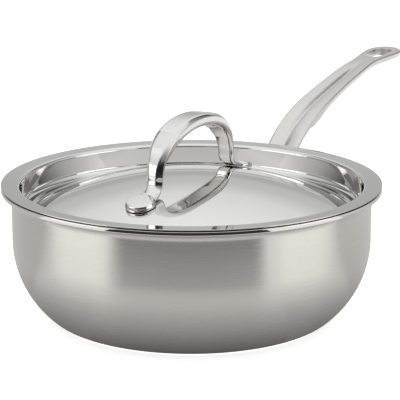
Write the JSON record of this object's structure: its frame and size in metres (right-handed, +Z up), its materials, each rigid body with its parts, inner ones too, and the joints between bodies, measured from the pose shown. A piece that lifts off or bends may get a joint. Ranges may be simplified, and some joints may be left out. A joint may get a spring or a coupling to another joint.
{
  "type": "covered saute pan",
  "caption": "Round-sided stainless saute pan with a flared rim, a grooved long handle with a hanging eye, and a recessed lift-off lid with an arched loop.",
  "frame": {"origin": "on the pan's axis, at the underside of its flat base", "axes": "+Z up, +X out along the long handle, +Y to the left of someone who looks out along the handle"},
  "size_m": [0.4845, 0.27, 0.1443],
  "materials": {
    "brushed_body": "brushed round the body, polished on the rim bead",
    "aluminium_core": "plain rolled",
    "satin_liner": "satin, turned",
    "cast_handle": "satin cast stainless steel",
    "rivet_steel": "polished",
    "polished_lid": "mirror polished stainless steel",
    "polished_loop": "mirror polished cast stainless steel"
  },
  "bodies": {
    "pan": {"pan_outer_skin": "brushed_body", "pan_core": "aluminium_core", "pan_inner_liner": "satin_liner", "pan_handle": "cast_handle", "handle_rivet_lower": "rivet_steel", "handle_rivet_left": "rivet_steel", "handle_rivet_right": "rivet_steel"},
    "lid": {"lid_shell": "polished_lid", "lid_loop": "polished_loop"}
  },
  "joints": [
    {"name": "lid_lift", "type": "slide", "parent": "pan", "child": "lid", "axis": [0, 0, 1], "range_m": [0, 0.12]}
  ]
}
